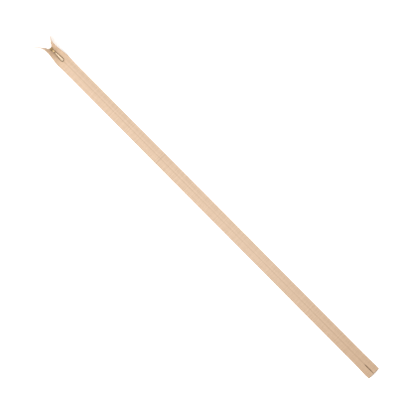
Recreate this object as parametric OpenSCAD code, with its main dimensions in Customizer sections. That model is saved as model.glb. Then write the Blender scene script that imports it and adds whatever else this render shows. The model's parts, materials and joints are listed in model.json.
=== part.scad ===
// Concealed zip fastener, closed at the bottom, with its slider parked at the top.
// X runs across the tapes, +Y points to the slider end, +Z is the face side.
// The seam lies on x = 0, the outer tape margins and the slider's back lie near z = 0.
// The chain lies level above the slider's back plate, so the slider can run the whole way down.

/* [Length] */
// Nominal length, from the slider's top end to the bottom stop
zip_len = 800; // [500:10:900]
// Tape below the bottom stop
tail_len = 27; // [15:1:40]
// How far the left tape reaches beyond the slider
left_reach = 23; // [14:1:26]
// How far the right tape reaches beyond the slider
right_reach = 16; // [14:1:26]

/* [Tape] */
// Distance from the seam to a tape's outer edge
tape_half_w = 12.5; // [11:0.1:14]
// Thickness of the woven tape
tape_t = 0.35; // [0.25:0.05:0.4]
// Distance from the seam to each tape's fold
fold_x = 0.4; // [0.35:0.05:0.5]
// Width of the edge that is folded back under the tape
hook_w = 2.1; // [1.9:0.1:2.1]
// Steepness of the slope between the chain and the flat margin
slope_deg = 28; // [28:1:45]

/* [Chain] */
// Width of one coil
coil_w = 2.0; // [1.6:0.1:2.0]
// Height of one coil
coil_h = 1.25; // [1.0:0.05:1.3]
// Diameter of the core cord inside a coil
core_d = 0.55; // [0.4:0.05:0.6]
// Width of one row of sewing thread
thread_w = 0.35; // [0.2:0.05:0.4]

/* [Slider] */
// Length of the slider body
slider_len = 11; // [10:0.5:12]
// Room in the slider beside each closed stringer
side_room = 0.65; // [0.6:0.05:0.7]
// Thickness of the slider's side walls
wall_t = 0.6; // [0.5:0.05:0.8]
// Thickness of the slider's back plate
plate_t = 0.45; // [0.4:0.05:0.5]
// Thickness of the guide post between the stringers
post_t = 0.5; // [0.4:0.05:0.6]
// Width of the face plate at its upper end
face_w = 5.2; // [4:0.1:5.4]

/* [Pull] */
// Length of the drop-shaped pull tab
pull_len = 25; // [18:0.5:26]
// Greatest width of the pull tab
pull_w = 6.6; // [5:0.1:7]
// Thickness of the pull tab's rim
pull_t = 1.2; // [1:0.1:1.5]

/* [Free ends] */
// Angle to which the tape rises below the slider
first_lift = 40; // [30:1:44]
// Angle of the tape at the slider's mouth, where it turns up on edge
mouth_lift = 60; // [50:1:64]
// Angle at which the free tape end stands beyond the mouth
end_lift = 85; // [76:1:86]
// How strongly the left free end curls away from the seam
left_curl = 0.016; // [0.01:0.0005:0.018]
// How strongly the right free end curls away from the seam
right_curl = 0.013; // [0.01:0.0005:0.018]
// Distance from the parked slider's centre to the place where the top ends swing
horn_len = 80; // [70:1:90]

/* [Hidden] */
// Heights of the layers: coil, folded edge, slider flange, main cloth
chain_z = 0.75;
coil_top = chain_z + coil_h;
hook_top = coil_top + tape_t;
flange_z = hook_top + 0.1;
flange_t = 0.35;
main_z = flange_z + flange_t + 0.1;
mid_z = main_z + tape_t / 2;
tape_top = main_z + tape_t;

// Places along the length
total_y = tail_len + zip_len + left_reach;
end_y = -total_y / 2;
stop_y = end_y + tail_len;
mouth_y = stop_y + zip_len;
slider_y = mouth_y - slider_len / 2;
coil_end_y = mouth_y - slider_len + 2;
horn_y = slider_y - horn_len;
// Gap between tape lengths that move apart
cut_gap = 0.2;
// Distances below the mouth where the first lift starts and ends, and where the second ends
lift_len = 40;
rest_len = 14;
steady_len = 4;
// It stands this far above the mouth
stand_len = 12;
// Room for the guide post beside the fold, and the fold's slope away from the seam at the mouth
post_room = 2.5;
mouth_slope = 0.45;
// The free ends sink towards the table beyond the mouth
end_sink = 2.5;

// The tape's section, measured along the cloth from the fold outwards
run_flat = 3.7;
run_slope = (mid_z - tape_t / 2) / sin(slope_deg);
run_margin = tape_half_w - fold_x - run_flat - run_slope * cos(slope_deg);
tape_w = run_flat + run_slope + run_margin;

// The slider's places
channel_w = fold_x + hook_w + side_room + 0.1;
slider_w = channel_w + wall_t;
back_z = 0.05;
face_z = tape_top + 0.5;
face_t = 0.45;
bail_w = 2.0;
bail_len = 5.2;
bail_h = 1.9;
bail_t = 0.6;
bail_y = mouth_y - slider_len + bail_len / 2 + 0.05;
pin_d = 0.9;
pivot_y = bail_y - bail_len / 2 + bail_t + 0.75;
pivot_z = face_z + face_t + 0.7;
// The parked pull slopes down to the tapes
pull_droop = 2.0;

function ease(a, b, v) = let (t = min(1, max(0, (v - a) / (b - a)))) t * t * (3 - 2 * t);
function mix(a, b, k) = a + (b - a) * k;

// How far the free tape ends have turned up on edge at height y: 0 is lying, 90 is standing
function tilt(y) =
    first_lift * ease(mouth_y - lift_len, mouth_y - rest_len, y)
    + (mouth_lift - first_lift) * ease(mouth_y - rest_len + 1, mouth_y - steady_len, y)
    + (end_lift - mouth_lift) * ease(mouth_y - 1, mouth_y + stand_len, y);

// How far the fold has left the chain, 0 on the chain and 1 beside the guide post
function freed(y) = ease(coil_end_y, coil_end_y + 3.5, y);

// Distance of the fold from the seam: closed, then beside the guide post, then curling away
function fold_at(y, curl) =
    let (d = max(0, y - mouth_y))
    fold_x + post_room * freed(y) + ease(0, 4, d) + mouth_slope * d + curl * d * d;
function fold_z(y) = mid_z + 0.2 * freed(y) - end_sink * ease(mouth_y + 1, mouth_y + 14, y);

// Heading of the fold beyond the slider, in degrees from the seam
function heading(y, curl) =
    let (d = max(0, y - mouth_y))
    atan(mouth_slope + 2 * curl * d) * ease(0, 4, d);
function curl_of(name) = name == "left" ? left_curl : right_curl;

// Direction of the cloth at a distance w from the fold: beside the seam it stays level on the chain
function lie(w, y) =
    let (k = min(1, tilt(y) / 25))
    w < level_w(y) ? tilt(y) * freed(y) :
    tilt(y) - (1 - k) * (w > run_flat && w < run_flat + run_slope ? slope_deg : 0);

// Width of the level strip beside the seam
function level_w(y) = mix(2.3, 0.3, freed(y));

// Stations across the cloth at height y
function stations(y) = [
    0, level_w(y), run_flat, run_flat + run_slope / 2, run_flat + run_slope,
    tape_w - run_margin / 2, tape_w
];
last = 6;

// Direction of the cloth between station i - 1 and station i
function slant(i, y) = lie((stations(y)[i] + stations(y)[i - 1]) / 2, y);

// Offset of station i from the fold, [out, up]
function reach(i, y) = i == 0 ? [0, 0] :
    reach(i - 1, y) + (stations(y)[i] - stations(y)[i - 1]) * [cos(slant(i, y)), sin(slant(i, y))];

// Unit normal of the cloth at station i, between those of its two neighbours
function rise(i, y) =
    let (a = (slant(max(i, 1), y) + slant(min(i + 1, last), y)) / 2)
    [-sin(a), cos(a)];

// One face of the cloth's section, side = -1 underneath and 1 on top
function face(i, y, side) = reach(i, y) + side * tape_t / 2 * rise(i, y);

// A closed ring of [out, up] points round the cloth's section
function ring(y) = concat(
    [for (i = [0:last]) face(i, y, -1)],
    [for (i = [last:-1:0]) face(i, y, 1)]
);

// The flat, closed section of a straight length of tape with its folded edge
module tape_section() {
    polygon(concat(
        [
            [fold_x, coil_top], [fold_x + hook_w, coil_top], [fold_x + hook_w, hook_top],
            [fold_x + tape_t, hook_top], [fold_x + tape_t, main_z]
        ],
        [for (i = [1:last]) face(i, end_y, -1) + [fold_x, mid_z]],
        [for (i = [last:-1:1]) face(i, end_y, 1) + [fold_x, mid_z]],
        [[fold_x, tape_top]]
    ));
}

// Extrudes a section drawn in X and Z from y0 to y1
module along(y0, y1) {
    translate([0, y1, 0]) rotate([90, 0, 0]) linear_extrude(y1 - y0) children();
}

// The straight folded edge of a tape
module hook(y0, y1) {
    along(y0, y1) {
        translate([fold_x, coil_top]) square([tape_t, mid_z - coil_top]);
        translate([fold_x, coil_top]) square([hook_w, tape_t]);
    }
}

// The cloth of a top end: it lies flat at the horn, tilts up beside the slider and curls away
module top_cloth(reach_y, curl) {
    y0 = horn_y + cut_gap / 2;
    rows = concat(
        [y0],
        [for (k = [0:20]) mouth_y - lift_len + lift_len * k / 20],
        [for (k = [1:12]) mouth_y + reach_y * k / 12]
    );
    n = 2 * (last + 1);
    points = [
        for (y = rows)
            for (p = ring(y))
                [fold_at(y, curl) + p[0], y, fold_z(y) + p[1]]
    ];
    sides = [
        for (r = [0:len(rows) - 2]) for (i = [0:n - 1])
            let (a = r * n + i, b = r * n + (i + 1) % n)
            for (f = [[a, b, b + n], [a, b + n, a + n]]) f
    ];
    function cap(r, flip) = [
        for (i = [0:last - 1])
            let (a = r * n + i, b = a + 1, c = r * n + n - 2 - i, d = c + 1)
            for (f = flip ? [[a, d, c], [a, c, b]] : [[a, c, d], [a, b, c]]) f
    ];
    polyhedron(points, concat(sides, cap(0, false), cap(len(rows) - 1, true)));
}

// Sets out one side: the right as drawn, the left mirrored
module side(name) {
    mirror([name == "left" ? 1 : 0, 0, 0]) children();
}

module tape_tail(name) {
    color("burlywood") side(name) along(end_y, stop_y - cut_gap / 2) tape_section();
}

module tape_main(name) {
    color("burlywood") side(name) along(stop_y + cut_gap / 2, horn_y - cut_gap / 2) tape_section();
}

module tape_top_end(name) {
    color("burlywood") side(name) {
        top_cloth(name == "left" ? left_reach : right_reach, curl_of(name));
        hook(horn_y + cut_gap / 2, coil_end_y);
    }
}

// The oval envelope of the wound coil, with the hole that its core cord fills
module coil(name, y0, y1) {
    mid = chain_z + coil_h / 2;
    r = coil_h / 2;
    color("tan") side(name) along(y0, y1) difference() {
        union() {
            translate([fold_x + r, mid]) circle(r, $fn = 24);
            translate([fold_x + coil_w - r, mid]) circle(r, $fn = 24);
            translate([fold_x + r, chain_z]) square([coil_w - 2 * r, coil_h]);
        }
        translate([fold_x + coil_w / 2, mid]) circle(d = core_d + 0.1, $fn = 20);
    }
}

module core(name, y0, y1) {
    color("ivory") side(name) along(y0, y1)
        translate([fold_x + coil_w / 2, chain_z + coil_h / 2]) circle(d = core_d, $fn = 20);
}

// Two rows of lockstitch that hold a coil to the folded edge, seen on the coil's back
module stitch(name, y0, y1) {
    row_h = 0.1;
    color("wheat") side(name) along(y0, y1)
        for (row = [-1, 1])
            translate([fold_x + coil_w / 2 + row * 0.35 - thread_w / 2, chain_z - row_h])
                square([thread_w, row_h]);
}

// The clip that is pressed round both folded edges at the bottom of the chain
module bottom_stop() {
    clip_len = 3.2;
    clip_w = fold_x + hook_w + 0.75;
    inside_w = fold_x + hook_w + 0.1;
    clip_z = 0.1;
    color("peru") along(stop_y - clip_len - cut_gap, stop_y - cut_gap) difference() {
        translate([-clip_w, clip_z]) square([2 * clip_w, main_z - 0.1 - clip_z]);
        translate([-inside_w, clip_z + 0.5]) square([2 * inside_w, main_z]);
    }
}

// A small clip across the inner edge of a standing tape end, just above the slider's mouth
module top_stop(name) {
    stop_len = 2.6;
    stop_h = 2.0;
    grip_t = 0.45;
    y = mouth_y + 5.5;
    color("peru") side(name)
        translate([fold_at(y, curl_of(name)), y, fold_z(y)])
        rotate([0, 90 - tilt(y), -heading(y, curl_of(name))])
        translate([0, 0, -0.45])
        difference() {
            translate([-tape_t / 2 - grip_t, -stop_len / 2, 0])
                cube([tape_t + 2 * grip_t, stop_len, stop_h]);
            translate([-tape_t / 2 - 0.05, -stop_len, 0.4]) cube([tape_t + 0.1, 2 * stop_len, stop_h]);
        }
}

// The plan of the slider: a little narrower at its lower end
module slider_plan(half_w) {
    corner = 0.8;
    y0 = slider_y - slider_len / 2;
    y1 = slider_y + slider_len / 2;
    translate([-half_w, y0 + corner]) square([2 * half_w, slider_len - 2 * corner]);
    translate([-half_w + corner, y0]) square([2 * (half_w - corner), slider_len]);
    for (x = [-1, 1], y = [y0 + corner, y1 - corner])
        translate([x * (half_w - corner), y]) circle(corner, $fn = 32);
}

// The half plan of the slot between the two flanges, flared at the mouth
module flange_slot() {
    slot = fold_x + tape_t + side_room + 0.1;
    y0 = slider_y - slider_len / 2 - 1;
    polygon([
        [-slot, y0], [slot, y0], [slot, slider_y], [channel_w - 0.1, mouth_y + 1],
        [-channel_w + 0.1, mouth_y + 1], [-slot, slider_y]
    ]);
}

module slider_body() {
    post_len = slider_len / 2 - 0.9;
    post_y = slider_y + 0.7;
    neck_w = bail_w + 0.3;
    eye_d = 1.6;
    tip = 0.5;
    set_back = 0.1;
    color("darkgoldenrod") {
        // Back plate
        translate([0, 0, back_z]) linear_extrude(plate_t) slider_plan(slider_w);
        // Side walls
        translate([0, 0, back_z]) linear_extrude(flange_z + flange_t - back_z) difference() {
            slider_plan(slider_w);
            translate([-channel_w, slider_y - slider_len]) square([2 * channel_w, 2 * slider_len]);
        }
        // Flanges that reach in over the folded edges
        translate([0, 0, flange_z]) linear_extrude(flange_t) difference() {
            slider_plan(slider_w);
            flange_slot();
        }
        // Guide post between the two stringers
        translate([-post_t / 2, post_y, back_z]) cube([post_t, post_len, face_z + face_t - back_z]);
        // Face plate on the post, over the tapes
        translate([0, 0, face_z]) linear_extrude(face_t) difference() {
            polygon([
                [-face_w / 2, mouth_y - set_back - tip], [-face_w / 2 + tip, mouth_y - set_back],
                [face_w / 2 - tip, mouth_y - set_back], [face_w / 2, mouth_y - set_back - tip],
                [neck_w / 2, slider_y + 0.6], [neck_w / 2, bail_y - bail_len / 2],
                [-neck_w / 2, bail_y - bail_len / 2], [-neck_w / 2, slider_y + 0.6]
            ]);
            translate([0, mouth_y - 2]) circle(d = eye_d, $fn = 32);
        }
    }
}

// The strap that stands on the face plate and holds the pull's pin
module slider_bail() {
    z0 = face_z + face_t;
    y0 = bail_y - bail_len / 2;
    color("goldenrod") difference() {
        translate([-bail_w / 2, y0, z0]) cube([bail_w, bail_len, bail_h]);
        translate([-bail_w, y0 + bail_t, z0 - 1]) cube([2 * bail_w, bail_len - 2 * bail_t, bail_h - bail_t + 1]);
    }
}

// The outline of the drop: a round lower end and a narrow head
module drop(grow) {
    big_r = pull_w / 2 + grow;
    small_r = 1.7 + grow;
    big_c = -(pull_len - pull_w / 2 - 0.9);
    small_c = -0.8;
    dist = small_c - big_c;
    a = asin((big_r - small_r) / dist);
    translate([0, big_c]) circle(big_r, $fn = 64);
    translate([0, small_c]) circle(small_r, $fn = 48);
    polygon([
        [big_r * cos(a), big_c + big_r * sin(a)], [small_r * cos(a), small_c + small_r * sin(a)],
        [-small_r * cos(a), small_c + small_r * sin(a)], [-big_r * cos(a), big_c + big_r * sin(a)]
    ]);
}

// The drop-shaped pull: a raised rim round a thin dished web, and a cross pin in the open head
module pull_tab() {
    rim = 0.9;
    web_t = 0.45;
    head_len = 3.1;
    color("darkkhaki") translate([0, pivot_y, pivot_z]) rotate([pull_droop, 0, 0]) {
        translate([0, 0, -pull_t / 2]) linear_extrude(pull_t) difference() {
            drop(0);
            drop(-rim);
            translate([-bail_w / 2 - 0.25, -head_len]) square([bail_w + 0.5, head_len + 4]);
        }
        translate([0, 0, -web_t / 2]) linear_extrude(web_t) difference() {
            drop(-rim / 2);
            translate([-10, -head_len]) square([20, head_len + 4]);
        }
        translate([-bail_w / 2 - 0.6, 0, 0]) rotate([0, 90, 0]) cylinder(h = bail_w + 1.2, d = pin_d, $fn = 32);
    }
}

tail_y = [end_y, stop_y - cut_gap / 2];
main_y = [stop_y + cut_gap / 2, horn_y - cut_gap / 2];
top_y = [horn_y + cut_gap / 2, coil_end_y];

tape_tail("left");  // left_tape_tail
tape_main("left");  // left_tape_main
tape_top_end("left");  // left_tape_top
tape_tail("right");  // right_tape_tail
tape_main("right");  // right_tape_main
tape_top_end("right");  // right_tape_top
coil("left", tail_y[0], tail_y[1]);  // left_coil_tail
coil("left", main_y[0], main_y[1]);  // left_coil_main
coil("left", top_y[0], top_y[1]);  // left_coil_top
coil("right", tail_y[0], tail_y[1]);  // right_coil_tail
coil("right", main_y[0], main_y[1]);  // right_coil_main
coil("right", top_y[0], top_y[1]);  // right_coil_top
core("left", tail_y[0], tail_y[1]);  // left_core_tail
core("left", main_y[0], main_y[1]);  // left_core_main
core("left", top_y[0], top_y[1]);  // left_core_top
core("right", tail_y[0], tail_y[1]);  // right_core_tail
core("right", main_y[0], main_y[1]);  // right_core_main
core("right", top_y[0], top_y[1]);  // right_core_top
stitch("left", tail_y[0], tail_y[1]);  // left_stitch_tail
stitch("left", main_y[0], main_y[1]);  // left_stitch_main
stitch("left", top_y[0], top_y[1]);  // left_stitch_top
stitch("right", tail_y[0], tail_y[1]);  // right_stitch_tail
stitch("right", main_y[0], main_y[1]);  // right_stitch_main
stitch("right", top_y[0], top_y[1]);  // right_stitch_top
bottom_stop();
top_stop("left");  // left_top_stop
top_stop("right");  // right_top_stop
slider_body();
slider_bail();
pull_tab();
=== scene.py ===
"""Concealed zip fastener: folded tapes, interlocked nylon coils, slider, drop-shaped pull and stops.

Shapes are in mm until they become meshes. X runs across the zip with the seam at 0, Y runs along it towards the
slider, and Z is up, on the side of the slider's face.
"""
import json
import math

import bmesh
import bpy
from mathutils import Matrix, Vector, noise


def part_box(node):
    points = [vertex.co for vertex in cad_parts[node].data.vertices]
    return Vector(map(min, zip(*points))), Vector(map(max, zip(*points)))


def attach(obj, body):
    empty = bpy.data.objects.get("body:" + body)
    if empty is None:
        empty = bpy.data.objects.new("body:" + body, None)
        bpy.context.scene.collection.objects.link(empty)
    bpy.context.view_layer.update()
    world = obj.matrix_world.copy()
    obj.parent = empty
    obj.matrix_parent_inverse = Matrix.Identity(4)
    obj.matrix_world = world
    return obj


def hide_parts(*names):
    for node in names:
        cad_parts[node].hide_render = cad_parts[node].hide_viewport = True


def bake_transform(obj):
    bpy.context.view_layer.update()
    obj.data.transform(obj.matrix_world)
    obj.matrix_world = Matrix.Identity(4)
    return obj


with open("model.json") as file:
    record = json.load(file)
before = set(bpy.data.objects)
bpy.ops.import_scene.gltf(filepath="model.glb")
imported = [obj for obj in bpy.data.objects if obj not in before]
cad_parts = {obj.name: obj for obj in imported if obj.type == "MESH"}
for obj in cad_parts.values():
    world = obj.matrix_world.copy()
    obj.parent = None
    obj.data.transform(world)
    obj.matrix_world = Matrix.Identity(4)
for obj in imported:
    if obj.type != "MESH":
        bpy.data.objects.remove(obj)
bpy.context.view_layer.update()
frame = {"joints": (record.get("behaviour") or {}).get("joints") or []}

MM = 0.001
SHARP_ANGLE = math.radians(50)  # edges turning more than this are shaded sharp


# ---------------------------------------------------------------- places, read from the frame (mm)
def span(node, axis):
    """Lowest and highest place of a CAD node along an axis, in mm."""
    low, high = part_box(node)
    return low[axis] / MM, high[axis] / MM


END_Y, TAIL_TOP = span("right_tape_tail", 1)
MAIN_LOW, MAIN_HIGH = span("right_tape_main", 1)
STOP_Y = (TAIL_TOP + MAIN_LOW) / 2
SLIDER_LOW, MOUTH_Y = span("slider_body", 1)
COIL_END_Y = span("right_coil_top", 1)[1]
SLIDER_HALF_W = span("slider_body", 0)[1]
BACK_Z, FACE_TOP = span("slider_body", 2)
CHAIN_Z, COIL_TOP = span("right_coil_main", 2)
CAD_FOLD_X, COIL_OUT_X = span("right_coil_main", 0)
TAPE_HALF_W = span("right_tape_main", 0)[1]
TAPE_TOP = span("right_tape_main", 2)[1]
TIP_Y = {"left": span("left_tape_top", 1)[1], "right": span("right_tape_top", 1)[1]}
HINGE = {j["name"]: j for j in frame["joints"]}
PIVOT = Vector(HINGE["pull_swing"]["pos_m"]) / MM

# Cloth
TAPE_T = 0.35  # thickness
EDGE_THINNING = 0.62  # share of the thickness left at the two long edges
MID_Z = TAPE_TOP - TAPE_T / 2  # mid-line of the main cloth over the chain
UNDER_Z = COIL_TOP + TAPE_T / 2  # mid-line of the folded-back edge
FOLD_R = (MID_Z - UNDER_Z) / 2
FREE_FOLD_R = 0.24  # radius of the fold beside the guide post and beyond
FOLD_X = 0.1  # from the seam to the fold
HOOK_W = 2.3  # width of the folded-back edge
RUN_FLAT = 3.9  # level cloth between the fold and the slope
SLOPE = math.radians(28)
RUN_SLOPE = (MID_Z - TAPE_T / 2) / math.sin(SLOPE)
RUN_MARGIN = TAPE_HALF_W - FOLD_X - RUN_FLAT - RUN_SLOPE * math.cos(SLOPE)  # level cloth beyond the slope
TAPE_W = RUN_FLAT + RUN_SLOPE + RUN_MARGIN
SLIT_HALF_W = 0.80  # how far each fold stands back from the seam below the bottom stop
SLIT_CLOSING = 0.6  # share of that which it has lost again at the very end
KNEE_HALF, FOOT_HALF = 0.7, 0.9  # half the lengths of the bends into and out of the slope
HELD_LEVEL, FREE_LEVEL = 2.6, 0.3  # where the cloth starts to turn up, out from the fold: held in the chain, freed
FLAT_LIFT = 25  # degrees turned up at which the slope has gone
WAVE_H = 0.1  # height of the waves at the selvedge
JOIN_Y = 120.0  # where the lower and upper lengths of each strand meet
UV_MM = 100.0  # mm of cloth for one unit of its UV map

# Free ends
CURL = {"left": 0.016, "right": 0.013}  # how strongly they curl away from the seam
FIRST_LIFT, MOUTH_LIFT, END_LIFT = 40, 60, 85  # degrees turned up below the slider, at its mouth and beyond it
LIFT_LEN, REST_LEN, STEADY_LEN, STAND_LEN = 40, 14, 4, 12  # from the mouth to where those turns start and end
FREEING_LEN = 3.5  # length over which the fold leaves the chain
POST_ROOM = 2.5  # how far the fold moves out past the guide post
MOUTH_SLOPE = 0.45  # how fast the fold runs outwards at the mouth
END_SINK = 2.5  # how far the fold sinks beyond the mouth
WARM_Y, WARM_LEN = 350.0, 42.0  # where their cloth starts to look warmer, and over what length

# Chain
WIRE_D = 0.5
PITCH = 1.24
HEAD_REACH = 0.28  # how far a coil's heads cross the seam
HEEL_GAP = 0.15  # between a coil's heels and the side of its CAD solid
PLY_R, PLY_TWIST, PLY_STEP = 0.15, 3.2, 0.6  # a core cord's ply: radius, length of one twist, length between points
STITCH_LEN = 2 * PITCH
STITCH_ROWS = (-0.42, 0.42)  # the rows' distances from the middle of the coil
STITCH_R = 0.11

# Slider, pull and stops
PLATE_T = 0.45
WALL_T = 0.6
POST_HALF_W = 0.25
FACE_HALF_W, NECK_HALF_W = 2.6, 1.15
EYE_R = 0.85
PIN_R = 0.43
INSET_UV_MM = 10.0  # mm in from the pull's outline for one unit of its UV map
PULL_DROOP = 2.0  # degrees that the parked pull slopes down
TOP_STOP_PAST = 5.5  # from the slider's mouth to the middle of a top stop


def clamp(v, low=0.0, high=1.0):
    return min(high, max(low, v))


def ease(a, b, v):
    t = clamp((v - a) / (b - a))
    return t * t * (3 - 2 * t)


def mix(a, b, k):
    return a + (b - a) * k


# ---------------------------------------------------------------- mesh helpers
def new_object(name, verts, faces):
    """A smooth-shaded mesh object from points in mm."""
    mesh = bpy.data.meshes.new(name)
    mesh.from_pydata([(x * MM, y * MM, z * MM) for x, y, z in verts], [], faces)
    mesh.validate()
    obj = bpy.data.objects.new(name, mesh)
    bpy.context.scene.collection.objects.link(obj)
    bm = bmesh.new()
    bm.from_mesh(mesh)
    bmesh.ops.recalc_face_normals(bm, faces=bm.faces)
    bm.to_mesh(mesh)
    bm.free()
    mesh.shade_smooth()
    return obj


def apply_modifiers(obj):
    """Makes an object's modified shape its own mesh."""
    deps = bpy.context.evaluated_depsgraph_get()
    mesh = bpy.data.meshes.new_from_object(obj.evaluated_get(deps))
    old = obj.data
    obj.modifiers.clear()
    obj.data = mesh
    bpy.data.meshes.remove(old)


def bevelled(obj, width, segments=3, angle=35):
    """Rounds an object's edges, width in mm."""
    m = obj.modifiers.new("round", "BEVEL")
    m.width = width * MM
    m.segments = segments
    m.limit_method = "ANGLE"
    m.angle_limit = math.radians(angle)
    apply_modifiers(obj)
    obj.data.shade_smooth()
    obj.data.set_sharp_from_angle(angle=SHARP_ANGLE)
    return obj


def joined(name, objects):
    """One object from several."""
    bm = bmesh.new()
    for o in objects:
        bm.from_mesh(o.data)
    mesh = bpy.data.meshes.new(name)
    bm.to_mesh(mesh)
    bm.free()
    for o in objects:
        old = o.data
        bpy.data.objects.remove(o)
        bpy.data.meshes.remove(old)
    obj = bpy.data.objects.new(name, mesh)
    bpy.context.scene.collection.objects.link(obj)
    mesh.shade_smooth()
    mesh.set_sharp_from_angle(angle=SHARP_ANGLE)
    return obj


def prism(name, outline, low, high, place):
    """Extrudes a closed 2-D outline; place(a, b, h) gives the 3-D point."""
    n = len(outline)
    verts = [place(a, b, low) for a, b in outline] + [place(a, b, high) for a, b in outline]
    faces = [tuple(range(n))[::-1], tuple(range(n, 2 * n))]
    faces += [(i, (i + 1) % n, n + (i + 1) % n, n + i) for i in range(n)]
    return new_object(name, verts, faces)


def arc(x, y, r, start, end, steps):
    """Points on a circle about (x, y), from one angle to another, in degrees."""
    angles = [math.radians(mix(start, end, i / steps)) for i in range(steps + 1)]
    return [(x + r * math.cos(a), y + r * math.sin(a)) for a in angles]


def circle(x, y, r, count):
    return arc(x, y, r, 0, 360, count)[:-1]


def cut(obj, tool):
    """Takes tool's volume out of obj and removes tool."""
    m = obj.modifiers.new("cut", "BOOLEAN")
    m.operation = "DIFFERENCE"
    m.solver = "EXACT"
    m.object = tool
    apply_modifiers(obj)
    mesh = tool.data
    bpy.data.objects.remove(tool)
    bpy.data.meshes.remove(mesh)


def tube(points, radius, sides):
    """Vertices and faces of a closed tube along points, carried by a frame that doesn't twist."""
    verts, faces = [], []
    pts = [Vector(p) for p in points]
    tangent = (pts[1] - pts[0]).normalized()
    side = tangent.orthogonal().normalized()
    for i, p in enumerate(pts):
        t = (pts[min(i + 1, len(pts) - 1)] - pts[max(i - 1, 0)]).normalized()
        side = (side - t * side.dot(t)).normalized()
        up = t.cross(side)
        for k in range(sides):
            a = 2 * math.pi * k / sides
            verts.append(p + radius * (math.cos(a) * side + math.sin(a) * up))
    for i in range(len(pts) - 1):
        for k in range(sides):
            a, b = i * sides + k, i * sides + (k + 1) % sides
            faces.append((a, b, b + sides, a + sides))
    faces.append(tuple(range(sides))[::-1])
    faces.append(tuple(range((len(pts) - 1) * sides, len(pts) * sides)))
    return verts, faces


def merged(name, chunks):
    """One object from many (verts, faces) chunks."""
    verts, faces = [], []
    for vs, fs in chunks:
        base = len(verts)
        verts += [tuple(v) for v in vs]
        faces += [tuple(base + i for i in f) for f in fs]
    return new_object(name, verts, faces)


# ---------------------------------------------------------------- the cloth's shape
def tilt(y):
    """Angle that a free tape end has turned up on edge at y."""
    lift = FIRST_LIFT * ease(MOUTH_Y - LIFT_LEN, MOUTH_Y - REST_LEN, y)
    lift += (MOUTH_LIFT - FIRST_LIFT) * ease(MOUTH_Y - REST_LEN + 1, MOUTH_Y - STEADY_LEN, y)
    lift += (END_LIFT - MOUTH_LIFT) * ease(MOUTH_Y - 1, MOUTH_Y + STAND_LEN, y)
    return math.radians(lift)


def freed(y):
    """0 where the fold is held in the chain, 1 beside the guide post."""
    return ease(COIL_END_Y, COIL_END_Y + FREEING_LEN, y)


def fold_place(y, curl):
    """Distance of the fold from the seam, and its height."""
    slit = SLIT_HALF_W * ease(STOP_Y - 1, STOP_Y - 9, y) * (1 - SLIT_CLOSING * ease(STOP_Y - 14, END_Y + 2, y))
    past = max(0.0, y - MOUTH_Y)
    x = FOLD_X + slit + (CAD_FOLD_X - FOLD_X + POST_ROOM) * freed(y)
    x += ease(0, 4, past) + MOUTH_SLOPE * past + curl * past * past
    z = MID_Z + 0.2 * freed(y) - END_SINK * ease(MOUTH_Y + 1, MOUTH_Y + 14, y)
    return x, z


def heading(y, curl):
    """Direction of the fold beyond the slider, from the seam."""
    past = max(0.0, y - MOUTH_Y)
    return math.atan(MOUTH_SLOPE + 2 * curl * past) * ease(0, 4, past)


def section(y):
    """The cloth's mid-line at y: (out, up, distance along the cloth) from the folded edge outwards."""
    lift = tilt(y)
    free = freed(y)
    r = mix(FOLD_R, FREE_FOLD_R, free)
    inner = lift * free
    points = []
    # the folded-back edge, below the main cloth in the fold's own frame
    n_under, n_arc = 5, 7
    under = HOOK_W - r
    for i in range(n_under):
        points.append((r + under * (1 - i / n_under), -2 * r))
    for i in range(n_arc):
        a = -math.pi / 2 - math.pi * i / n_arc
        points.append((r + r * math.cos(a), -r + r * math.sin(a)))
    cos, sin = math.cos(inner), math.sin(inner)
    turned = [(a * cos - b * sin, a * sin + b * cos) for a, b in points]
    # the main cloth: level over the chain, down the slope, and level again; the slope goes as the cloth turns up
    level = mix(HELD_LEVEL, FREE_LEVEL, free)
    keep = 1 - min(1.0, math.degrees(lift) / FLAT_LIFT)
    n_main, wave_from = 34, 20
    slope_end = RUN_FLAT + RUN_SLOPE
    x, z = r * cos, r * sin
    turned.append((x, z))
    step = (TAPE_W - r) / n_main
    for i in range(n_main):
        w = r + step * (i + 0.5)
        bend = ease(RUN_FLAT - KNEE_HALF, RUN_FLAT + KNEE_HALF, w)
        bend -= ease(slope_end - FOOT_HALF, slope_end + FOOT_HALF, w)
        a = mix(inner, lift, ease(level - 0.5, level + 0.9, w)) - keep * SLOPE * bend
        x += step * math.cos(a)
        z += step * math.sin(a)
        edge = max(0, i - wave_from) / (n_main - wave_from)
        wave = WAVE_H * edge * edge * (1 + math.sin(y * 0.11 + 1.7) * math.sin(y * 0.031))
        turned.append((x, z + wave))
    out, run = [], -HOOK_W
    for i, p in enumerate(turned):
        if i:
            run += math.dist(p, turned[i - 1])
        out.append((p[0], p[1], run))
    return out


def cloth_rows(low, high):
    """Places of the rows along the tape: close together where the cloth turns up, wider on the straight."""
    rows, y = [low], low
    while y < high - 1e-6:
        y += 0.7 if y > MOUTH_Y - LIFT_LEN else 2.0
        rows.append(min(y, high))
    if rows[-1] - rows[-2] < 0.3:
        del rows[-2]
    return rows


def relax_outwards(mid, flat, widest=9):
    """Evens the cloth's course along its length, not at all at the fold and most at the outer edge."""
    nr = len(mid)
    for j in range(len(mid[0])):
        share = clamp(flat[0][j][0] / TAPE_W)
        before = [row[j].copy() for row in mid]
        for i in range(nr):
            r = min(round(widest * share), i, nr - 1 - i)
            near = before[i - r:i + r + 1]
            mid[i][j].x = sum(p.x for p in near) / len(near)
            mid[i][j].z = sum(p.z for p in near) / len(near)


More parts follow.
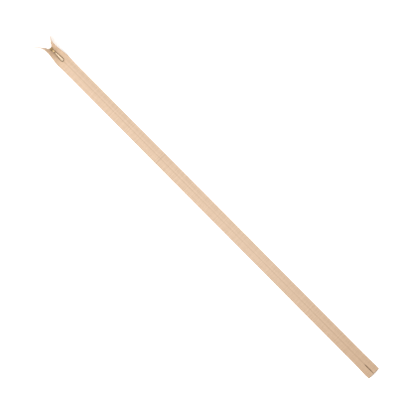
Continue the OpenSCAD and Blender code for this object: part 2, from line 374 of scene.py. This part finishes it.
def cloth(name, side, low, high):
    """A length of folded tape as a closed mesh, with its flat coordinates in the UV map 'cloth'."""
    sign = -1 if side == "left" else 1
    curl = CURL[side]
    rows = cloth_rows(low, high)
    mid, flat = [], []
    for y in rows:
        fx, fz = fold_place(y, curl)
        edge_x = 0.1 * noise.noise(Vector((y * 0.21, sign * 3.1, 0.4)))
        line = section(y)
        mid.append([Vector((sign * (fx + a + edge_x * clamp(run / TAPE_W) ** 2), y, fz + b)) for a, b, run in line])
        flat.append([(run, y) for _, _, run in line])
    nr, nc = len(rows), len(mid[0])
    relax_outwards(mid, flat)

    def normal(i, j):
        along = mid[min(i + 1, nr - 1)][j] - mid[max(i - 1, 0)][j]
        across = mid[i][min(j + 1, nc - 1)] - mid[i][max(j - 1, 0)]
        return along.cross(across).normalized() * -sign

    verts, uvs = [], []
    for layer in (1, -1):
        for i in range(nr):
            for j in range(nc):
                half = TAPE_T / 2 * (EDGE_THINNING if j in (0, nc - 1) else 1.0)
                verts.append(mid[i][j] + layer * half * normal(i, j))
                uvs.append(flat[i][j])
    faces = []
    base = nr * nc
    for i in range(nr - 1):
        for j in range(nc - 1):
            a, b, c, d = i * nc + j, i * nc + j + 1, (i + 1) * nc + j + 1, (i + 1) * nc + j
            faces.append((a, b, c, d))
            faces.append((base + d, base + c, base + b, base + a))
    for i in range(nr - 1):
        for j in (0, nc - 1):
            a, b = i * nc + j, (i + 1) * nc + j
            faces.append((a, b, base + b, base + a) if j == 0 else (b, a, base + a, base + b))
    for j in range(nc - 1):
        for i in (0, nr - 1):
            a, b = i * nc + j, i * nc + j + 1
            faces.append((b, a, base + a, base + b) if i == 0 else (a, b, base + b, base + a))
    obj = new_object(name, verts, faces)
    layer = obj.data.uv_layers.new(name="cloth")
    for loop in obj.data.loops:
        u, v = uvs[loop.vertex_index]
        layer.data[loop.index].uv = (u / UV_MM, v / UV_MM)
    return obj


# ---------------------------------------------------------------- the chain's strands
def coil(name, side, low, high):
    """The wound monofilament: long oval turns, whose heads cross the seam between the other side's heads."""
    sign = -1 if side == "left" else 1
    phase = 0.0 if side == "left" else 0.5
    r = WIRE_D / 2
    z0, z1 = CHAIN_Z + r, COIL_TOP - r
    half_h, mid = (z1 - z0) / 2, (z0 + z1) / 2
    x_in, x_out = -HEAD_REACH + r, COIL_OUT_X - HEEL_GAP - r
    first = math.ceil(low / PITCH - phase)
    last = math.floor(high / PITCH - phase)
    # one turn as (x, z, share of the turn): along the back, up at the heel, along the top, down at the head
    turn = [
        (x_in + 0.25, z0, 0.02), (x_in + 0.9, z0 + 0.02, 0.10), (x_out - 0.35, z0 + 0.03, 0.24),
        (x_out - 0.02, z0 + half_h * 0.55, 0.31), (x_out, mid, 0.36), (x_out - 0.04, z1 - half_h * 0.5, 0.42),
        (x_out - 0.4, z1 - 0.02, 0.5), (x_in + 0.9, z1 - 0.02, 0.72), (x_in + 0.25, z1, 0.86),
        (x_in, z1 - half_h * 0.45, 0.92), (x_in - 0.02, mid, 0.95), (x_in, z0 + half_h * 0.45, 0.98),
    ]
    points = []
    for n in range(first, last):
        for x, z, part in turn:
            y = (n + phase + 0.35 * part + (0.65 if part > 0.5 else 0) * ease(0.5, 0.95, part)) * PITCH
            if low <= y <= high:
                points.append((sign * x, y, z))
    return merged(name, [tube(points, r, 7)])


def core(name, side, low, high):
    """A two-ply cord through the coil's turns."""
    sign = -1 if side == "left" else 1
    centre_x = (CAD_FOLD_X + COIL_OUT_X) / 2
    mid = (CHAIN_Z + COIL_TOP) / 2
    steps = max(2, int((high - low) / PLY_STEP))
    chunks = []
    for ply in (0, math.pi):
        points = []
        for i in range(steps + 1):
            y = low + (high - low) * i / steps
            a = ply + 2 * math.pi * y / PLY_TWIST
            points.append((sign * centre_x + 0.12 * math.cos(a), y, mid + 0.1 * math.sin(a)))
        chunks.append(tube(points, PLY_R, 6))
    return merged(name, chunks)


def stitches(name, side, low, high):
    """Two rows of lockstitch on the back of the coil, each stitch dipping between the turns at its ends."""
    sign = -1 if side == "left" else 1
    centre_x = (CAD_FOLD_X + COIL_OUT_X) / 2
    chunks = []
    for row in STITCH_ROWS:
        n = math.ceil(low / STITCH_LEN + (0.25 if row > 0 else 0))
        while (n + 1) * STITCH_LEN <= high:
            points = []
            for i in range(7):
                t = i / 6
                dip = (2 * abs(t - 0.5)) ** 3
                x = centre_x + row + 0.05 * math.sin(math.pi * t)
                points.append((sign * x, (n + t) * STITCH_LEN, CHAIN_Z - 0.06 + 0.3 * dip))
            chunks.append(tube(points, STITCH_R, 6))
            n += 1
    return merged(name, chunks)


# ---------------------------------------------------------------- the slider and pull
def rounded(half_w, low, high, corner, steps=6):
    """A rectangle with round corners, as an outline."""
    points = []
    for cx, cy, start in ((half_w - corner, high - corner, 0), (-half_w + corner, high - corner, 90),
                          (-half_w + corner, low + corner, 180), (half_w - corner, low + corner, 270)):
        points += arc(cx, cy, corner, start, start + 90, steps)
    return points


def in_plan(a, b, h):
    """Places an outline level, extruded upwards."""
    return (a, b, h)


def across(a, b, h):
    """Places an outline in the plane of Y and Z, extruded across the zip."""
    return (h, a, b)


def lengthwise(a, b, h):
    """Places an outline in the plane of X and Z, extruded along the zip."""
    return (a, h, b)


def slider_body():
    """Back plate with turned-in side channels, guide post and face plate."""
    flange_low, flange_top = COIL_TOP + TAPE_T + 0.1, COIL_TOP + TAPE_T + 0.45
    inner = SLIDER_HALF_W - WALL_T
    middle = (SLIDER_LOW + MOUTH_Y) / 2
    back = prism("back", rounded(SLIDER_HALF_W, SLIDER_LOW, MOUTH_Y, 1.1, 8), BACK_Z, BACK_Z + PLATE_T, in_plan)
    parts = [bevelled(back, 0.14)]
    # each channel is lofted along the slider, its flange drawn back towards the mouth
    stations = 24
    for sign in (-1, 1):
        verts, faces = [], []
        for i in range(stations + 1):
            t = i / stations
            y = mix(SLIDER_LOW + 0.05, MOUTH_Y - 0.05, t)
            from_end = min(y - SLIDER_LOW, MOUTH_Y - y)
            tuck = 0.42 * (1 - math.sqrt(clamp(1 - (1 - clamp(from_end / 0.9)) ** 2)))  # rounds the ends in plan
            out = SLIDER_HALF_W - tuck
            lip = mix(1.5, inner - 0.25, ease(0.45, 1.0, t))
            lip = min(lip + tuck * 0.5, inner - 0.05)
            crown = 0.18 * (1 - tuck)
            profile = [
                (inner, BACK_Z + PLATE_T - 0.15), (out - 0.1, BACK_Z + 0.12), (out, BACK_Z + 0.5),
                (out, flange_top - 0.5), (out - crown, flange_top - 0.12), (out - 0.5, flange_top),
                (lip + 0.1, flange_top), (lip, flange_top - 0.09), (lip, flange_low + 0.09),
                (lip + 0.1, flange_low), (inner, flange_low),
            ]
            verts += [(sign * a, y, b) for a, b in profile]
        n = len(profile)
        for i in range(stations):
            for k in range(n):
                a, b = i * n + k, i * n + (k + 1) % n
                faces.append((a, b, b + n, a + n))
        faces += [tuple(range(n)), tuple(range(stations * n, (stations + 1) * n))[::-1]]
        parts.append(new_object("channel", verts, faces))
    # guide post, from the middle up to the mouth
    post_low, post_high = middle + 0.7, MOUTH_Y - 0.35
    half = [(0.1, post_low), (POST_HALF_W, post_low + 0.7), (POST_HALF_W, post_high - 0.3), (0.12, post_high)]
    post = half + [(-a, b) for a, b in half[::-1]]
    parts.append(bevelled(prism("post", post, BACK_Z + 0.2, FACE_TOP - 0.2, in_plan), 0.05, 2))
    # face plate: wide at the mouth, a narrow tongue under the bail
    half = [
        (0, MOUTH_Y - 0.25), (FACE_HALF_W - 0.75, MOUTH_Y - 0.12), (FACE_HALF_W - 0.25, MOUTH_Y - 0.3),
        (FACE_HALF_W, MOUTH_Y - 0.9), (mix(NECK_HALF_W, FACE_HALF_W, 0.55), MOUTH_Y - 2.4),
        (mix(NECK_HALF_W, FACE_HALF_W, 0.15), middle + 1.3), (NECK_HALF_W, middle + 0.4),
        (NECK_HALF_W, SLIDER_LOW + 0.6), (NECK_HALF_W - 0.3, SLIDER_LOW + 0.12), (0, SLIDER_LOW + 0.05),
    ]
    outline = half + [(-a, b) for a, b in half[-2:0:-1]]
    face = prism("face", outline, FACE_TOP - PLATE_T, FACE_TOP, in_plan)
    cut(face, prism("eye", circle(0, MOUTH_Y - 2, EYE_R, 32), FACE_TOP - 1, FACE_TOP + 1, in_plan))
    parts.append(bevelled(face, 0.1))
    return joined("slider_casting", parts)


def bail():
    """The arched strap on the face plate that holds the pull's pin."""
    low, high = span("slider_bail", 1)
    z0, z1 = span("slider_bail", 2)
    half_w = span("slider_bail", 0)[1]
    foot = z0 - 0.2
    t, r = 0.6, 0.85
    r_in = r - t + 0.15
    outer = [(low, foot)] + arc(low + r, z1 - r, r, 180, 90, 8)
    outer += arc(high - r, z1 - r, r, 90, 0, 8) + [(high, foot)]
    top = z1 - t - r_in
    inner = [(high - t, foot)] + arc(high - t - r_in, top, r_in, 0, 90, 5)
    inner += arc(low + t + r_in, top, r_in, 90, 180, 5) + [(low + t, foot)]
    return bevelled(prism("slider_strap", outer + inner, -half_w, half_w, across), 0.13)


def drop_loop(inset, count=112):
    """The pull's outline, inset by a distance; its head is at the pivot and it hangs towards -Y."""
    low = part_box("pull_tab")[0] / MM
    big_r = span("pull_tab", 0)[1]
    length = PIVOT.y - low.y
    big_c, small_c, small_r = -(length - big_r), -0.8, 1.7
    points = []
    for i in range(count):
        a = 2 * math.pi * i / count
        n = (math.cos(a), math.sin(a))
        if big_c * n[1] + big_r > small_c * n[1] + small_r:
            points.append(((big_r - inset) * n[0], big_c + (big_r - inset) * n[1]))
        else:
            points.append(((small_r - inset) * n[0], small_c + (small_r - inset) * n[1]))
    return points


def pull():
    """A drop-shaped tab: rounded raised rim, dished web, forked head with a cross pin."""
    rim = 1.15
    profile = [(0.0, 0.0), (0.03, 0.28), (0.16, 0.46), (0.36, 0.57), (0.58, 0.6), (0.8, 0.56), (1.0, 0.44),
               (rim, 0.3), (rim + 0.1, 0.2), (rim + 0.28, 0.15), (rim + 0.5, 0.13)]
    loops = [(d, -h) for d, h in reversed(profile[1:])] + profile
    verts, faces = [], []
    count = len(drop_loop(0))
    for d, z in loops:
        verts += [(x, y, z) for x, y in drop_loop(d)]
    for k in range(len(loops) - 1):
        for i in range(count):
            j = (i + 1) % count
            faces.append((k * count + i, k * count + j, (k + 1) * count + j, (k + 1) * count + i))
    faces.append(tuple(range(count))[::-1])
    faces.append(tuple(range((len(loops) - 1) * count, len(loops) * count)))
    tab = new_object("tab", verts, faces)
    inset = tab.data.uv_layers.new(name="inset")
    for loop in tab.data.loops:
        inset.data[loop.index].uv = (loops[loop.vertex_index // count][0] / INSET_UV_MM, 0.5)
    bail_half = span("slider_bail", 0)[1]
    fork = bail_half + 0.22
    cut(tab, prism("slot", [(-fork, -3.1), (fork, -3.1), (fork, 3), (-fork, 3)], -2, 2, in_plan))
    bevelled(tab, 0.06, 2, 50)
    pin_half = bail_half + 0.45
    pin = bevelled(prism("pin", circle(0, 0, PIN_R, 28), -pin_half, pin_half, across), 0.05, 2)
    obj = joined("drop_pull", [tab, pin])
    droop = Matrix.Rotation(math.radians(PULL_DROOP), 4, "X")
    obj.data.transform(Matrix.Translation(PIVOT * MM) @ droop)
    return obj


# ---------------------------------------------------------------- the stops
def bottom_clip():
    """A strip of metal bent round both folded edges."""
    y0, y1 = span("bottom_stop", 1)
    half_w = span("bottom_stop", 0)[1]
    z0, z1 = span("bottom_stop", 2)
    t, r = 0.42, 0.7
    r_in = r - t + 0.1
    outer = [(-half_w + 0.2, z1), (-half_w, z1 - 0.3)] + arc(-half_w + r, z0 + r, r, 180, 270, 6)
    outer += arc(half_w - r, z0 + r, r, 270, 360, 6) + [(half_w, z1 - 0.3), (half_w - 0.2, z1), (half_w - t, z1)]
    x_in, z_in = half_w - t - r_in, z0 + t + r_in
    inner = arc(x_in, z_in, r_in, 360, 270, 4) + arc(-x_in, z_in, r_in, 270, 180, 4) + [(-half_w + t, z1)]
    return bevelled(prism("bottom_clip", outer + inner, y0, y1, lengthwise), 0.1, 2)


def top_clip(side):
    """A small staple-shaped clip over the lower edge of a standing tape end."""
    sign = -1 if side == "left" else 1
    y = MOUTH_Y + TOP_STOP_PAST
    x, z = fold_place(y, CURL[side])
    half_w, half_len, height, t, r = 0.95, 1.25, 2.3, 0.38, 0.6
    outer = [(-half_w, height), (-half_w, 0.5)] + arc(-half_w + r, r, r, 180, 270, 5)[1:]
    outer += arc(half_w - r, r, r, 270, 360, 5)[1:] + [(half_w, height), (half_w - t, height)]
    inner = [(half_w - t, t), (-half_w + t, t), (-half_w + t, height)]
    obj = bevelled(prism(side + "_top_clip", outer + inner, -half_len, half_len, lengthwise), 0.08, 2)
    below = Matrix.Translation(Vector((0, 0, -0.55)) * MM)  # the clip's back stands this far under the fold
    turn = Matrix.Rotation(-sign * heading(y, CURL[side]), 4, "Z")
    lean = Matrix.Rotation(sign * (math.pi / 2 - tilt(y)), 4, "Y")
    obj.data.transform(Matrix.Translation(Vector((sign * x, y, z)) * MM) @ turn @ lean @ below)
    return obj


# ---------------------------------------------------------------- materials
def material(name, roughness, metallic=0.0):
    """A node material, its Principled shader, and helpers that add nodes and plug sockets into the shader."""
    mat = bpy.data.materials.new(name)
    mat.use_nodes = True
    tree = mat.node_tree
    shader = tree.nodes["Principled BSDF"]
    shader.inputs["Roughness"].default_value = roughness
    shader.inputs["Metallic"].default_value = metallic

    def node(kind, settings=None, **links):
        n = tree.nodes.new(kind)
        for key, value in (settings or {}).items():
            if key in n.inputs.keys():
                n.inputs[key].default_value = value
            else:
                setattr(n, key, value)
        for key, source in links.items():
            by_number = key[0] == "i" and key[1:].isdigit()
            tree.links.new(source, n.inputs[int(key[1:]) if by_number else key])
        return n

    def plug(source, socket):
        tree.links.new(source, shader.inputs[socket])

    return mat, shader, node, plug


def ramp(node, source, stops):
    """A colour ramp over source, from (position, colour) stops."""
    n = node("ShaderNodeValToRGB")
    elements = n.color_ramp.elements
    while len(elements) < len(stops):
        elements.new(0.5)
    for e, (at, colour) in zip(elements, stops):
        e.position = at
        e.color = (*colour, 1)
    source.id_data.links.new(source, n.inputs[0])
    return n.outputs[0]


def maths(node, operation, a, b=None):
    """A Math node; a and b are sockets or numbers."""
    n = node("ShaderNodeMath", {"operation": operation})
    for i, v in enumerate((a, b)):
        if v is None:
            continue
        if isinstance(v, (int, float)):
            n.inputs[i].default_value = v
        else:
            v.id_data.links.new(v, n.inputs[i])
    return n.outputs[0]


def times(node, a, b):
    return maths(node, "MULTIPLY", a, b)


def plus(node, a, b):
    return maths(node, "ADD", a, b)


def blend_colour(node, mode, factor, a, b):
    """Mixes two colours; a and b are sockets or RGB."""
    n = node("ShaderNodeMix", {"data_type": "RGBA", "blend_type": mode})
    for socket, v in ((n.inputs[0], factor), (n.inputs[6], a), (n.inputs[7], b)):
        if isinstance(v, (int, float)):
            socket.default_value = v
        elif isinstance(v, tuple):
            socket.default_value = (*v, 1)
        else:
            v.id_data.links.new(v, socket)
    return n.outputs[2]


BLACK, WHITE = (0, 0, 0), (1, 1, 1)
NUDE = (0.452, 0.330, 0.232)
NUDE_MID = (0.497, 0.368, 0.267)
NUDE_LIGHT = (0.540, 0.410, 0.302)
# painted shade for the crease of the fold at the seam
FOLD_PAINTED_SHADE = (0.480, 0.400, 0.320)
STREAK_SHADE = (0.80, 0.76, 0.72)
THREAD_SHADE = (0.70, 0.64, 0.58)
WARM_SHADE = (1.0, 0.945, 0.85)
WEFT_PITCH, WARP_PITCH = 0.62, 0.48  # mm
SELVEDGE_W = 2.0
SHADE_FALLOFF_LEN = 300.0  # from the bottom end to where the painted shade of the light's falloff has gone


def cloth_material():
    """Fine woven polyester tape: warp threads along it, weft ribs across it, a dense selvedge and painted shade in
    the crease of its fold.
    """
    mat, shader, node, plug = material("tape_cloth", 0.78)
    shader.inputs["Sheen Weight"].default_value = 0.25
    shader.inputs["Sheen Roughness"].default_value = 0.45
    shader.inputs["Specular IOR Level"].default_value = 0.25
    uv = node("ShaderNodeUVMap", {"uv_map": "cloth"})
    xyz = node("ShaderNodeSeparateXYZ", i0=uv.outputs[0])
    u = times(node, xyz.outputs[0], UV_MM)  # mm across the cloth
    v = times(node, xyz.outputs[1], UV_MM)  # mm along it
    # weft ribs and warp threads, offset every other rib like a twill
    rib = maths(node, "SINE", times(node, v, 2 * math.pi / WEFT_PITCH))
    slant = plus(node, times(node, u, 2 * math.pi / WARP_PITCH), times(node, v, math.pi / WEFT_PITCH))
    warp = maths(node, "SINE", slant)
    weave = times(node, plus(node, times(node, rib, 0.6), times(node, warp, 0.5)), 0.5)
    # slow unevenness: bands across from uneven beating-up, streaks along from uneven threads
    across_uv = node("ShaderNodeCombineXYZ", i0=times(node, u, 0.02), i1=times(node, v, 0.50))
    bands = node("ShaderNodeTexNoise", {"Scale": 1.0, "Detail": 3.0, "Roughness": 0.65},
                 Vector=across_uv.outputs[0])
    along_uv = node("ShaderNodeCombineXYZ", i0=times(node, u, 1.6), i1=times(node, v, 0.012))
    streaks = node("ShaderNodeTexNoise", {"Scale": 1.0, "Detail": 2.0, "Roughness": 0.6},
                   Vector=along_uv.outputs[0])
    fuzz = node("ShaderNodeTexNoise", {"Scale": 2600.0, "Detail": 2.0, "Roughness": 0.7},
                Vector=node("ShaderNodeTexCoord").outputs["Object"])
    tone = ramp(node, bands.outputs[0], [(0.32, NUDE), (0.52, NUDE_MID), (0.70, NUDE_LIGHT)])
    streaked = ramp(node, streaks.outputs[0], [(0.32, STREAK_SHADE), (0.66, WHITE)])
    tone = blend_colour(node, "MULTIPLY", 0.30, tone, streaked)
    threads = ramp(node, plus(node, times(node, weave, 0.5), 0.5), [(0.12, THREAD_SHADE), (0.62, WHITE)])
    tone = blend_colour(node, "MULTIPLY", 0.42, tone, threads)
    # painted shade in the crease of the pressed fold at the seam, and the doubled selvedge line
    fold = ramp(node, maths(node, "ABSOLUTE", u), [(0.0, FOLD_PAINTED_SHADE), (0.25, FOLD_PAINTED_SHADE), (0.9, WHITE)])
    tone = blend_colour(node, "MULTIPLY", 1.0, tone, fold)
    from_edge = maths(node, "DIVIDE", maths(node, "SUBTRACT", TAPE_W, u), SELVEDGE_W)
    selvedge = ramp(node, from_edge, [(0.0, (0.86, 0.82, 0.78)), (0.22, (0.97, 0.95, 0.93)),
                                      (0.40, (0.86, 0.83, 0.80)), (0.52, WHITE)])
    tone = blend_colour(node, "MULTIPLY", 0.5, tone, selvedge)
    # painted shade: the cloth darkens towards the bottom end, where the light falls off
    from_end = maths(node, "DIVIDE", maths(node, "SUBTRACT", v, END_Y), SHADE_FALLOFF_LEN)
    falloff_shade = ramp(node, from_end, [(0.0, (0.88, 0.83, 0.76)), (0.35, (0.92, 0.89, 0.85)), (1.0, WHITE)])
    tone = blend_colour(node, "MULTIPLY", 1.0, tone, falloff_shade)
    # the standing ends are warmer: light reaches them through and off the cloth beside them
    standing = maths(node, "DIVIDE", maths(node, "SUBTRACT", v, WARM_Y), WARM_LEN)
    tone = blend_colour(node, "MULTIPLY", 1.0, tone, ramp(node, standing, [(0.0, WHITE), (1.0, WARM_SHADE)]))
    plug(tone, "Base Color")
    plug(plus(node, times(node, fuzz.outputs[0], 0.18), 0.68), "Roughness")
    height = plus(node, times(node, weave, 0.8), times(node, fuzz.outputs[0], 0.5))
    height = plus(node, height, times(node, bands.outputs[0], 0.5))
    plug(node("ShaderNodeBump", {"Strength": 0.55, "Distance": 0.00009}, Height=height).outputs[0], "Normal")
    return mat


def nylon_material():
    """Dyed monofilament: glossy, with faint draw lines and uneven dye, darkened all over to a painted shade."""
    mat, shader, node, plug = material("coil_nylon", 0.32)
    shader.inputs["Coat Weight"].default_value = 0.2
    shader.inputs["Coat Roughness"].default_value = 0.2
    where = node("ShaderNodeTexCoord").outputs["Object"]
    draw = node("ShaderNodeTexNoise", {"Scale": 900.0, "Detail": 2.0}, Vector=where)
    dye = node("ShaderNodeTexNoise", {"Scale": 60.0, "Detail": 3.0}, Vector=where)
    # painted shade: darker than the cloth it matches, as the coil shows only in the shadow of the slit
    tone = ramp(node, dye.outputs[0], [(0.3, (0.42, 0.255, 0.135)), (0.7, (0.53, 0.35, 0.205))])
    plug(tone, "Base Color")
    plug(plus(node, times(node, draw.outputs[0], 0.22), 0.22), "Roughness")
    bump = node("ShaderNodeBump", {"Strength": 0.25, "Distance": 0.00003}, Height=draw.outputs[0])
    plug(bump.outputs[0], "Normal")
    return mat


def yarn_material(name, light, deep):
    """Twisted yarn: fine slanting fibres, with painted highlight on their crowns and painted shade in the grooves.
    """
    mat, shader, node, plug = material(name, 0.85)
    shader.inputs["Sheen Weight"].default_value = 0.2
    where = node("ShaderNodeTexCoord").outputs["Object"]
    turned = node("ShaderNodeMapping", {"Rotation": (0.4, 0.0, 0.62)}, Vector=where)
    twist = node("ShaderNodeTexWave", {"Scale": 1500.0, "Distortion": 1.6, "Detail": 2.0}, Vector=turned.outputs[0])
    # painted light and shade: the twist's crowns lighter, its grooves darker
    plug(ramp(node, twist.outputs["Fac"], [(0.1, deep), (0.75, light)]), "Base Color")
    plug(plus(node, times(node, twist.outputs["Fac"], 0.12), 0.75), "Roughness")
    bump = node("ShaderNodeBump", {"Strength": 0.5, "Distance": 0.00005}, Height=twist.outputs["Fac"])
    plug(bump.outputs[0], "Normal")
    return mat


def painted_material(name, paint, deep, bare_and_highlight, metallic, roughness, web_reflection=None):
    """Enamelled die-cast metal: mottled paint, bright on its edges from wear and from a painted highlight, finely
    scratched.

    An optional pair of paler colours is a painted reflection on the middle of a piece that has the UV map 'inset'.
    """
    mat, shader, node, plug = material(name, roughness, metallic)
    shader.inputs["Coat Weight"].default_value = 0.35
    shader.inputs["Coat Roughness"].default_value = 0.18
    where = node("ShaderNodeTexCoord").outputs["Object"]
    mottle = node("ShaderNodeTexNoise", {"Scale": 420.0, "Detail": 4.0, "Roughness": 0.6}, Vector=where)
    fine = node("ShaderNodeTexNoise", {"Scale": 5200.0, "Detail": 2.0}, Vector=where)
    stretched = node("ShaderNodeMapping", {"Rotation": (0.2, 0.1, 0.5), "Scale": (1.0, 0.06, 1.0)}, Vector=where)
    scratch = node("ShaderNodeTexNoise", {"Scale": 5000.0, "Detail": 1.0, "Roughness": 0.4},
                   Vector=stretched.outputs[0])
    marks = ramp(node, scratch.outputs[0], [(0.60, BLACK), (0.70, WHITE)])
    tone = ramp(node, mottle.outputs[0], [(0.32, deep), (0.66, paint)])
    # painted reflection on the dished web of the pull
    if web_reflection:
        inset = node("ShaderNodeSeparateXYZ", i0=node("ShaderNodeUVMap", {"uv_map": "inset"}).outputs[0]).outputs[0]
        reflection_mask = ramp(node, times(node, inset, 6.0), [(0.60, BLACK), (0.76, WHITE)])
        dished = ramp(node, mottle.outputs[0], [(0.3, web_reflection[0]), (0.7, web_reflection[1])])
        tone = blend_colour(node, "MIX", reflection_mask, tone, dished)
    # the edges' bright colour is part wear, part painted highlight
    worn_and_lit_edges = ramp(node, node("ShaderNodeNewGeometry").outputs["Pointiness"], [(0.525, BLACK), (0.60, WHITE)])
    worn_and_lit_edges = times(node, worn_and_lit_edges, plus(node, times(node, mottle.outputs[0], 0.9), 0.1))
    tone = blend_colour(node, "MIX", worn_and_lit_edges, tone, bare_and_highlight)
    tone = blend_colour(node, "MIX", times(node, marks, 0.25), tone, bare_and_highlight)
    plug(tone, "Base Color")
    rough = plus(node, times(node, mottle.outputs[0], 0.25), roughness - 0.12)
    plug(maths(node, "SUBTRACT", rough, times(node, worn_and_lit_edges, 0.1)), "Roughness")
    height = plus(node, times(node, fine.outputs[0], 0.4), times(node, mottle.outputs[0], 0.8))
    plug(node("ShaderNodeBump", {"Strength": 0.3, "Distance": 0.00005}, Height=height).outputs[0], "Normal")
    return mat


def floor_material():
    """Plain white paper."""
    mat, shader, node, plug = material("floor_paper", 0.9)
    where = node("ShaderNodeTexCoord").outputs["Object"]
    grain = node("ShaderNodeTexNoise", {"Scale": 900.0, "Detail": 3.0}, Vector=where)
    plug(ramp(node, grain.outputs[0], [(0.3, (0.93, 0.93, 0.93)), (0.7, (0.95, 0.95, 0.95))]), "Base Color")
    return mat


CLOTH = cloth_material()
NYLON = nylon_material()
CORD = yarn_material("core_cord", (0.86, 0.72, 0.58), (0.62, 0.46, 0.32))
THREAD = yarn_material("sewing_thread", (0.88, 0.72, 0.56), (0.66, 0.48, 0.34))
SLIDER = painted_material("slider_metal", paint=(0.24, 0.145, 0.048), deep=(0.14, 0.080, 0.022),
                          bare_and_highlight=(0.52, 0.37, 0.17), metallic=0.7, roughness=0.36)
# painted highlight: the bail's strap is the slider's metal painted lighter
STRAP_HIGHLIGHT = painted_material("strap_metal_highlight", paint=(0.54, 0.38, 0.17), deep=(0.38, 0.25, 0.10),
                         bare_and_highlight=(0.74, 0.56, 0.30), metallic=0.7, roughness=0.32)
# the pull's dark paint is partly its own colour and partly painted shade, most seen on its rim
PULL = painted_material("pull_metal", paint=(0.115, 0.066, 0.014), deep=(0.075, 0.040, 0.008),
                        bare_and_highlight=(0.30, 0.19, 0.07), metallic=0.7, roughness=0.38,
                        # painted reflection: the paler colours of the pull's web
                        web_reflection=((0.43, 0.325, 0.22), (0.50, 0.39, 0.28)))
STOP = painted_material("stop_metal", paint=(0.66, 0.48, 0.33), deep=(0.54, 0.38, 0.25),
                        bare_and_highlight=(0.74, 0.62, 0.46), metallic=0.3, roughness=0.42)


def finish_piece(obj, mat, slot, body, *nodes):
    """Gives a piece its material, hides the CAD nodes it stands for, and gives it a body unless it is blended; slot
    is not used.
    """
    obj.data.materials.clear()
    obj.data.materials.append(mat)
    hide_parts(*nodes)
    if body:
        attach(obj, body)


# ---------------------------------------------------------------- camera, floor and light
VIEW_W = 0.749  # width of the picture at the object, in metres
SEAM_TURN = math.radians(-44.8)  # the seam runs from the picture's upper left to its lower right
AIM = Vector((-0.0018, -0.0025, 0.003))  # the point at the middle of the picture
CAMERA_FAR = 6.0  # from the camera to that point, in metres
SENSOR_W = 36
FLOOR_HALF_W = 4
FLOOR_GAP = 0.0002  # between the floor and the zip

camera_data = bpy.data.cameras.new("camera")
camera_data.sensor_width = SENSOR_W
camera_data.lens = SENSOR_W * CAMERA_FAR / VIEW_W
camera_data.clip_end = 50
camera = bpy.data.objects.new("camera", camera_data)
bpy.context.scene.collection.objects.link(camera)
camera.location = AIM + Vector((0, 0, CAMERA_FAR))
camera.rotation_euler = (0, 0, SEAM_TURN)
bpy.context.scene.camera = camera

floor_mesh = bpy.data.meshes.new("floor")
corners = [(a * FLOOR_HALF_W, b * FLOOR_HALF_W, 0) for a, b in ((-1, -1), (1, -1), (1, 1), (-1, 1))]
floor_mesh.from_pydata(corners, [], [(0, 1, 2, 3)])
floor = bpy.data.objects.new("floor", floor_mesh)
bpy.context.scene.collection.objects.link(floor)
floor.location.z = -FLOOR_GAP
floor.data.materials.append(floor_material())


def area_light(name, size, power, place, aim):
    """A square soft light: size and places in metres, power in watts."""
    data = bpy.data.lights.new(name, "AREA")
    data.shape = "SQUARE"
    data.size = size
    data.energy = power
    light = bpy.data.objects.new(name, data)
    bpy.context.scene.collection.objects.link(light)
    light.location = place
    light.rotation_euler = (Vector(aim) - Vector(place)).to_track_quat("-Z", "Y").to_euler()


# picture directions on the floor: to the right and up
RIGHT = Vector((math.cos(SEAM_TURN), math.sin(SEAM_TURN), 0))
UP = Vector((-math.sin(SEAM_TURN), math.cos(SEAM_TURN), 0))
area_light("key", size=1.2, power=33, place=-1.3 * RIGHT - 0.1 * UP + Vector((0, 0, 1.7)),
           aim=0.08 * UP - 0.08 * RIGHT)
area_light("fill", size=2.6, power=31, place=1.1 * RIGHT + 0.9 * UP + Vector((0, 0, 2.1)), aim=(0, 0, 0))
world = bpy.data.worlds.new("studio")
world.use_nodes = True
background = world.node_tree.nodes["Background"]
background.inputs["Color"].default_value = (1, 1, 1, 1)
background.inputs["Strength"].default_value = 0.92
bpy.context.scene.world = world
bpy.context.scene.view_settings.view_transform = "Standard"

# ---------------------------------------------------------------- the pieces
CORE_PROUD = 0.4  # how far the core cords stick out at the bottom end


for side in ("left", "right"):
    stringer, top_end = f"{side}_stringer", f"{side}_top_end"
    strands = (
        (cloth, CLOTH, "tape_cloth", "tape", END_Y, TIP_Y[side]),
        (coil, NYLON, "coil_nylon", "coil", END_Y, COIL_END_Y),
        (core, CORD, "core_cord", "core", END_Y - CORE_PROUD, COIL_END_Y),
        (stitches, THREAD, "sewing_thread", "stitch", END_Y, COIL_END_Y),
    )
    for make, mat, slot, word, low, high in strands:
        lower = make(f"{side}_{word}_lower", side, low, JOIN_Y)
        finish_piece(lower, mat, slot, None, f"{side}_{word}_tail", f"{side}_{word}_main")
        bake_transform(lower)
        upper = make(f"{side}_{word}_upper", side, JOIN_Y, high)
        finish_piece(upper, mat, slot, None, f"{side}_{word}_top")
        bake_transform(upper)
    finish_piece(top_clip(side), STOP, "stop_metal", top_end, f"{side}_top_stop")

finish_piece(bottom_clip(), STOP, "stop_metal", "tail", "bottom_stop")
finish_piece(slider_body(), SLIDER, "slider_metal", "slider", "slider_body")
finish_piece(bail(), STRAP_HIGHLIGHT, "slider_metal", "slider", "slider_bail")
finish_piece(pull(), PULL, "pull_metal", "pull", "pull_tab")
